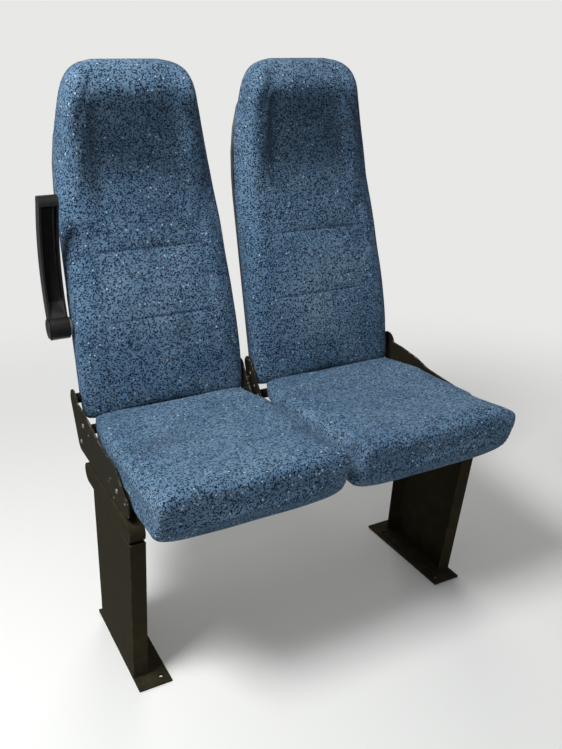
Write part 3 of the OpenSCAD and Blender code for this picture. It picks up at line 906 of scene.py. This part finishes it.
def pleats(across, y, z):
    """Short folds that run around the lower front corners, from 0 to 1."""
    corner_x, corner_y = CUSHION_W / 2 - 26, CUSHION_FRONT_Y + 30
    around = np.hypot(np.maximum(0, abs(across) - corner_x + 18), np.maximum(0, corner_y + 18 - y))
    close = ease((around - 14) / 16) * ease((560 - z) / 46) * ease((z - 456) / 12)
    corner = ease((abs(across) - corner_x + 44) / 40) * ease((corner_y + 62 - y) / 56)
    wave = 0.5 + 0.5 * np.cos(2 * math.pi * (z + 0.35 * (abs(across) - corner_x)) / PLEAT_STEP)
    return close * corner * wave**2


def finish_cushion(pad, seed):
    mesh = pad.data
    points, normals = points_of(mesh), normals_of(mesh)
    across, y, z = (points[:, k] / MM for k in range(3))
    top = np.clip(normals[:, 2], 0, 1)
    front = np.clip(-normals[:, 1], 0, 1)
    uneven = np.array([ripple(p, 0.09, seed) + 0.5 * ripple(p, 0.035, seed + 5) for p in points])
    seat_dip = DIP_DEPTH * np.exp(-((across / 130) ** 2)) * np.exp(-(((y - 20) / 120) ** 2)) * top
    lift = uneven * 1.1 * np.maximum(top, front) - seat_dip - PLEAT_DEPTH * pleats(across, y, z)
    points += normals * (lift * MM)[:, None]
    room = (CUSHION_W / 2 + 0.5) * MM
    points[:, 0] = np.clip(points[:, 0], -room, room)
    under = (points[:, 1] > (CUSHION_FRONT_Y + SKIRT_Y - 1) * MM) & (points[:, 2] < (BOARD_TOP_Z + 0.3) * MM)
    points[under, 2] = (BOARD_TOP_Z + 0.3) * MM
    set_points(mesh, points)
    # Paler top and sides: partly rubbed pile, partly a painted highlight where the lamp falls on them.
    paler_parts = 0.24 * top * np.exp(-((across / 190) ** 4)) * ease((y + 330) / 60)
    paler_parts += 0.25 * ease((abs(across) - 185) / 30)
    rub = np.clip(paler_parts * (0.9 + 0.35 * uneven), 0, 1) * ease((z - 470) / 60)
    # Darker lower front: partly soiled by legs and bags, partly painted shade on the lower front.
    grease = 0.50 * (1 - ease((z - 460) / 75)) * (0.9 + 0.2 * uneven) * ease((-270 - y) / 45)
    set_values(mesh, rub=rub, grease=grease)
    mesh.shade_smooth()


for side, middle in (("aisle", -SEAT_X), ("window", SEAT_X)):
    pad = soft_shape("cushion_pad_" + side, cushion_rings(), cushion_held, 4.0, 7 * MM)
    finish_cushion(pad, 2.0 if side == "aisle" else 6.0)
    pad.data.transform(Matrix.Translation((middle, 0, 0)))
    pads["cushion_" + side] = dress(pad, UPHOLSTERY, ["cushion_" + side])

# %% [markdown]
# ## Steel, shells and armrest
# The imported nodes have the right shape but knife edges. A merged copy of each gets a small bevel, as
# bent sheet, sawn tube and moulded plastic have, and its normals are hardened so that flat stays flat.
# The bevel gives its faces a second material number, which is kept as the attribute of worn edges.

# %% Bevelled copies of the nodes
FLAT_ANGLE = math.radians(1.0)


def bevelled_copy(name, nodes, width, material, body="frame", segments=2, sharp=32):
    """One piece in place of CAD nodes, merged to clean faces, with every sharp edge rounded."""
    shape = bmesh.new()
    for label in nodes:
        shape.from_mesh(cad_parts[label].data)
    bmesh.ops.remove_doubles(shape, verts=shape.verts, dist=0.02 * MM)
    bmesh.ops.dissolve_limit(
        shape, angle_limit=FLAT_ANGLE, verts=shape.verts, edges=shape.edges, use_dissolve_boundaries=False
    )
    bmesh.ops.connect_verts_concave(shape, faces=shape.faces)
    area = sum(face.calc_area() for face in shape.faces)
    mesh = bpy.data.meshes.new(name)
    shape.to_mesh(mesh)
    shape.free()
    piece = put_in_scene(name, mesh)
    mesh.shade_smooth()
    mesh.set_sharp_from_angle(angle=math.radians(sharp))
    bevel = piece.modifiers.new("rounded_edges", "BEVEL")
    bevel.limit_method = "ANGLE"
    bevel.angle_limit = math.radians(sharp)
    bevel.width = width * MM
    bevel.segments = segments
    bevel.harden_normals = True
    bevel.use_clamp_overlap = True
    bevel.material = 1
    mesh.materials.append(material)
    mesh.materials.append(material)
    bake_modifiers(piece)
    print(name, "keeps", round(sum(face.area for face in piece.data.polygons) / area, 3), "of its area")
    numbers = np.empty(len(piece.data.polygons), np.int32)
    piece.data.polygons.foreach_get("material_index", numbers)
    layer = piece.data.attributes.new("edge", "FLOAT", "FACE")
    layer.data.foreach_set("value", (numbers == 1).astype(np.float32))
    piece.data.polygons.foreach_set("material_index", np.zeros(len(numbers), np.int32))
    return dress(piece, material, nodes, body)


for side in ("aisle", "window"):
    bevelled_copy("foot_" + side, ["foot_plate_" + side], 1.0, LEG_PAINT)
    bevelled_copy("sheet_leg_" + side, ["leg_" + side], 1.2, LEG_PAINT)
    bevelled_copy("round_end_rail_" + side, ["head_rail_" + side], 1.2, LEG_PAINT)
    bevelled_copy("outer_plate_" + side, ["side_plate_" + side + "_outer"], 0.9, PLATE_PAINT)
    bevelled_copy("inner_plate_" + side, ["side_plate_" + side + "_inner"], 0.9, PLATE_PAINT)
    bevelled_copy("ply_board_" + side, ["cushion_board_" + side], 0.8, PLYWOOD)
    bevelled_copy("back_tubes_" + side, ["back_rails_" + side], 0.5, FRAME_PAINT, sharp=40)
for place in ("front", "rear"):
    bevelled_copy("square_tube_" + place, ["cross_tube_" + place], 1.1, FRAME_PAINT)
bevelled_copy("arm_boss", ["armrest_boss"], 0.8, BARE_STEEL, sharp=40)
bevelled_copy("arm_pin", ["armrest_pin"], 0.5, BARE_STEEL, sharp=40)
bevelled_copy("arm_core", ["armrest_core"], 0.6, FRAME_PAINT, body="armrest", sharp=40)
bevelled_copy("arm_moulding", ["armrest_pad"], 2.2, ARM_PLASTIC, body="armrest", segments=3)
bevelled_copy("arm_end_cap", ["armrest_cap"], 1.6, ARM_PLASTIC, body="armrest", segments=3)

# %% [markdown]
# ### Shells
# The shell behind each backrest is a hollow moulding with ribs inside and a shallow recess for knees.
# Its skin is a loft of many small faces, so only edges sharper than 38 degrees are rounded. The rest is
# shaded smooth.

# %% Shells
for side in ("aisle", "window"):
    bevelled_copy(
        "moulded_shell_" + side, ["back_shell_" + side], 0.9, SHELL_PLASTIC, sharp=38
    )

# %% [markdown]
# ## Small things that repeat
# Screws, stitches and weld beads are placed by two small Geometry Nodes trees. They could be copied in
# Python, but a tree can be tried with other spacings at once. Python only says where they lie: a point
# or a line on the surface, with the surface's direction kept on each point as an attribute. The tree
# turns each copy to that direction, varies it a little with a fixed seed and realises it.

# %% Geometry Nodes trees


def kept_vector(tree, name):
    """A direction that Python has kept on each point."""
    return node(tree, "GeometryNodeInputNamedAttribute", {"Name": name}, data_type="FLOAT_VECTOR").outputs[0]


def geometry_tree(name, with_spacing):
    """Places copies of a piece on points, or along a line where with_spacing is set."""
    inputs = [
        ("Geometry", "Geometry", None), ("Piece", "Object", None), ("Material", "Material", None),
        ("Turn", "Float", 0.0), ("Size Change", "Float", 0.05), ("Seed", "Int", 4),
    ]
    if with_spacing:
        inputs.append(("Spacing", "Float", 0.004))
    tree, given, out = group(name, inputs, [("Geometry", "Geometry")], "GeometryNodeTree")
    places = given["Geometry"]
    if with_spacing:
        line = node(tree, "GeometryNodeMeshToCurve", {"Mesh": places}).outputs[0]
        even = {"Curve": line, "Length": given["Spacing"]}
        places = node(tree, "GeometryNodeResampleCurve", even, mode="LENGTH").outputs[0]
        along = tree.nodes.new("GeometryNodeInputTangent").outputs[0]
    else:
        along = kept_vector(tree, "along")
    up = kept_vector(tree, "up")
    axes = node(tree, "FunctionNodeAxesToRotation", {0: up, 1: along}, primary_axis="Z", secondary_axis="X")
    spread = {2: times(tree, given["Turn"], -1.0), 3: given["Turn"], "Seed": given["Seed"]}
    turn = node(tree, "FunctionNodeRandomValue", spread, data_type="FLOAT").outputs[1]
    spin = node(tree, "ShaderNodeCombineXYZ", {"Z": turn}).outputs[0]
    turned = node(
        tree, "FunctionNodeRotateRotation",
        {0: axes.outputs[0], 1: node(tree, "FunctionNodeEulerToRotation", {0: spin}).outputs[0]},
        rotation_space="LOCAL",
    )
    low = math_node(tree, "SUBTRACT", 1.0, given["Size Change"])
    high = math_node(tree, "ADD", 1.0, given["Size Change"])
    size = node(tree, "FunctionNodeRandomValue", {2: low, 3: high, "Seed": given["Seed"]}, data_type="FLOAT")
    copy = node(tree, "GeometryNodeObjectInfo", {"Object": given["Piece"]}).outputs["Geometry"]
    placed = node(
        tree, "GeometryNodeInstanceOnPoints",
        {"Points": places, "Instance": copy, "Rotation": turned.outputs[0], "Scale": size.outputs[1]},
    )
    real = node(tree, "GeometryNodeRealizeInstances", {0: placed.outputs[0]})
    finish = {"Geometry": real.outputs[0], "Material": given["Material"]}
    tree.links.new(node(tree, "GeometryNodeSetMaterial", finish).outputs[0], out["Geometry"])
    return tree


AT_POINTS = geometry_tree("pieces_at_points", False)
ALONG_LINE = geometry_tree("pieces_along_a_line", True)
print("trees", AT_POINTS.name, ALONG_LINE.name)


# %% Use of the trees


def place(name, tree, points, edges, ups, alongs, piece, slot, body="frame", **values):
    """Runs a tree on the points, keeps its result as one plain mesh and dresses it."""
    mesh = mesh_from(name, points, edges=edges)
    for label, vectors in (("up", ups), ("along", alongs)):
        layer = mesh.attributes.new(label, "FLOAT_VECTOR", "POINT")
        layer.data.foreach_set("vector", np.asarray(vectors, np.float32).ravel())
    holder = put_in_scene(name, mesh)
    modifier = holder.modifiers.new("copies", "NODES")
    modifier.node_group = tree
    sockets = {s.name: s.identifier for s in tree.interface.items_tree if s.in_out == "INPUT"}
    for key, value in {"Piece": piece, **values}.items():
        modifier[sockets[key.replace("_", " ")]] = value
    bake_modifiers(holder)
    holder.data.shade_smooth()
    holder.data.set_sharp_from_angle(angle=math.radians(35))
    return dress(holder, values["Material"], (), body)


def surface_of(names):
    """A search tree over the surface of visible pieces."""
    shape = bmesh.new()
    for label in names:
        shape.from_mesh(bpy.data.objects[label].data)
    found = BVHTree.FromBMesh(shape)
    shape.free()
    return found


def meet(surface, sign, across, s, from_t):
    """Where a line that starts at from_t and runs through a backrest meets the surface, and how it faces."""
    middle = Vector((sign * SEAT_X, 0, 0))
    start = Vector(back_points(across, s, from_t)) + middle
    toward = Vector(back_points(across, s, 0)) + middle - start
    hit, normal, _, _ = surface.ray_cast(start, toward.normalized())
    return hit, normal


# %% [markdown]
# ### Screws
# Button heads hold the side plates to the boards and the shells to the backrests. Each is a small ring
# profile with a six sided socket. Those on the shells are found by a ray from behind, because the shell
# curves, and the tree turns each by its own angle, as no fitter lines them up.

# %% Screws
HEX_TURN = math.radians(30)


# Rings of a button head from its foot to the bottom of its socket: radius, height, six sided or not
HEAD_RINGS = (
    (5.5, -0.6, 0), (5.5, 0.7, 0), (5.0, 1.8, 0), (4.0, 2.6, 0), (2.9, 2.9, 0), (2.1, 2.9, 1), (2.1, 1.3, 1)
)


def screw_head():
    """Button head with a six sided socket, 11 mm wide."""
    steps = 24
    angle = np.arange(steps) * 2 * math.pi / steps
    hexagon = math.cos(HEX_TURN) / np.cos((angle + HEX_TURN) % (2 * HEX_TURN) - HEX_TURN)
    points = []
    for radius, height, six in HEAD_RINGS:
        reach = radius * (hexagon if six else 1.0)
        ring = [reach * np.cos(angle), reach * np.sin(angle), np.full(steps, height)]
        points += list(np.stack(ring, axis=-1) * MM)
    return mesh_from("screw_head", points, skin(len(HEAD_RINGS), steps))


PLATE_SCREWS = ((155, 551), (187, 497), (-94, 503))
SHELL_SCREWS = ((-135, 60), (135, 60), (-150, 400), (150, 400), (-95, 740), (95, 740))
head = put_in_scene("screw_pattern", screw_head())
spots, ups, alongs = [], [], []
for side, sign in (("aisle", -1), ("window", 1)):
    outer = abs(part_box("side_plate_" + side + "_outer")[0 if sign < 0 else 1].x)
    for y, z in PLATE_SCREWS:
        spots.append((sign * outer, y * MM, z * MM))
        ups.append((sign, 0, 0))
        alongs.append((0, 1, 0))
    rear = surface_of(["moulded_shell_" + side])
    for across, s in SHELL_SCREWS:
        hit, normal = meet(rear, sign, across, s, 200)
        spots.append(tuple(hit))
        ups.append(tuple(normal))
        alongs.append((1, 0, 0))
place(
    "frame_screws", AT_POINTS, spots, [], ups, alongs, head, "pin_steel",
    Material=ZINC, Turn=3.1, Size_Change=0.03, Seed=11,
)
bpy.data.objects.remove(head)

# %% [markdown]
# ### Stitches
# A row of stitches runs on either side of each cross seam. Rays from the front find the padding, the
# tree spaces small rounded lumps along the line that they give, and each lump lies along the line.

# %% Stitches


def lump(length, width, height):
    """A small rounded lump with the given half sizes in millimetres."""
    shape = bmesh.new()
    bmesh.ops.create_uvsphere(shape, u_segments=8, v_segments=6, radius=1.0)
    bmesh.ops.scale(shape, vec=(length * MM, width * MM, height * MM), verts=shape.verts)
    mesh = bpy.data.meshes.new("lump")
    shape.to_mesh(mesh)
    shape.free()
    return mesh


STITCH_STEP = 3.6 * MM
STITCH_ROW = 4.2
loop = put_in_scene("stitch_pattern", lump(1.5, 0.42, 0.38))
spots, edges, ups = [], [], []
for side, sign in (("aisle", -1), ("window", 1)):
    front = surface_of(["backrest_" + side])
    for seam in CROSS_SEAMS:
        for row in (-STITCH_ROW, STITCH_ROW):
            first = len(spots)
            for across in np.linspace(-UPRIGHT_SEAM_X + 8, UPRIGHT_SEAM_X - 8, 60):
                hit, normal = meet(front, sign, across, seam + row, -150)
                spots.append(tuple(hit + normal * 0.1 * MM))
                ups.append(tuple(normal))
            edges += [(k, k + 1) for k in range(first, len(spots) - 1)]
place(
    "seam_stitches", ALONG_LINE, spots, edges, ups, [(1, 0, 0)] * len(spots), loop, "seat_fabric",
    Material=THREAD, Turn=0.06, Size_Change=0.08, Seed=5, Spacing=STITCH_STEP,
)
bpy.data.objects.remove(loop)

# %% [markdown]
# ### Weld beads
# The legs are welded to the foot plates and to the rails on top of them. Each weld is a row of small
# overlapping lumps along the leg's front or rear edge, painted over with the rest. The leg's own ends
# say where the lines run, so the beads follow if the leg changes.

# %% Weld beads
BEAD_STEP = 2.4 * MM
bead = put_in_scene("bead_pattern", lump(2.2, 3.0, 2.2))
spots, edges, ups = [], [], []
for side in ("aisle", "window"):
    leg = points_of(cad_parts["leg_" + side].data)
    for level, tilt in ((leg[:, 2].min(), 1), (leg[:, 2].max(), -1)):
        end = leg[abs(leg[:, 2] - level) < 0.1 * MM]
        for y, outward in ((end[:, 1].min(), -1), (end[:, 1].max(), 1)):
            for x in (end[:, 0].min() + 3 * MM, end[:, 0].max() - 2 * MM):
                spots.append((x, y, level))
                ups.append((0, outward, tilt))
            edges.append((len(spots) - 2, len(spots) - 1))
place(
    "weld_beads", ALONG_LINE, spots, edges, ups, [(1, 0, 0)] * len(spots), bead, "leg_paint",
    Material=LEG_PAINT, Turn=0.15, Size_Change=0.10, Seed=7, Spacing=BEAD_STEP,
)
bpy.data.objects.remove(bead)

# %% [markdown]
# ## Floor and light
# The floor is plain and pale, and fades out towards the horizon. The key light hangs high on the
# armrest's side, a little in front of the backrests, as in the photograph: it lights the flank, the
# head rims and the cushions, and leaves the head hollow dark. A wide fill beside the camera, a weak
# light from the side, one behind the seat and a pale sky keep the rest readable.

# %% Stage
FLOOR_HALF = 9.0
FLOOR_MATERIAL, tree, shader, where = new_material("pale_floor", Roughness=0.9, Specular_IOR_Level=0.1)
shader["Base Color"].default_value = rgb(226, 225, 222)
away = node(tree, "ShaderNodeVectorMath", {0: where}, operation="LENGTH").outputs["Value"]
clear = node(tree, "ShaderNodeBsdfTransparent")
faded = node(
    tree, "ShaderNodeMixShader",
    {0: remap(tree, away, 0.9, 2.8), 1: tree.nodes["Principled BSDF"].outputs[0], 2: clear.outputs[0]},
)
tree.links.new(faded.outputs[0], tree.nodes["Material Output"].inputs["Surface"])
corners = [(x * FLOOR_HALF, y * FLOOR_HALF, -0.0005) for x, y in ((-1, -1), (1, -1), (1, 1), (-1, 1))]
floor = put_in_scene("floor", mesh_from("floor", corners, [(0, 1, 2, 3)]))
floor.data.materials.append(FLOOR_MATERIAL)

world = bpy.data.worlds.new("studio")
scene.world = world
world.use_nodes = True
tree = world.node_tree
sky = tree.nodes["Background"]
sky.inputs["Color"].default_value = (0.93, 0.96, 1.0, 1)
sky.inputs["Strength"].default_value = 0.27
seen = node(tree, "ShaderNodeBackground", {"Color": rgb(232, 232, 230), "Strength": 1.0})
path = node(tree, "ShaderNodeLightPath")
choice = {0: path.outputs["Is Camera Ray"], 1: sky.outputs[0], 2: seen.outputs[0]}
either = node(tree, "ShaderNodeMixShader", choice)
tree.links.new(either.outputs[0], tree.nodes["World Output"].inputs["Surface"])


def soft_light(name, place, target, size, power, colour):
    lamp = bpy.data.lights.new(name, "AREA")
    lamp.shape = "RECTANGLE"
    lamp.size, lamp.size_y = size
    lamp.energy = power
    lamp.color = colour
    holder = bpy.data.objects.new(name, lamp)
    scene.collection.objects.link(holder)
    holder.location = place
    holder.rotation_euler = (Vector(target) - Vector(place)).to_track_quat("-Z", "Y").to_euler()
    return holder


soft_light("lamp_light", (-1.5, -0.55, 2.7), (0.0, 0.1, 0.7), (0.9, 0.7), 88, (0.97, 0.99, 1.0))
soft_light("fill_light", (-0.6, -3.1, 2.0), (0.0, 0.0, 0.6), (2.4, 2.0), 9, (1.0, 0.98, 0.95))
soft_light("side_light", (-3.0, -0.2, 1.6), (0.0, 0.1, 0.7), (1.6, 1.4), 8, (0.93, 0.97, 1.0))
soft_light("rear_light", (1.3, 3.0, 2.6), (0.0, 0.2, 0.8), (2.0, 1.6), 45, (1.0, 0.99, 0.97))
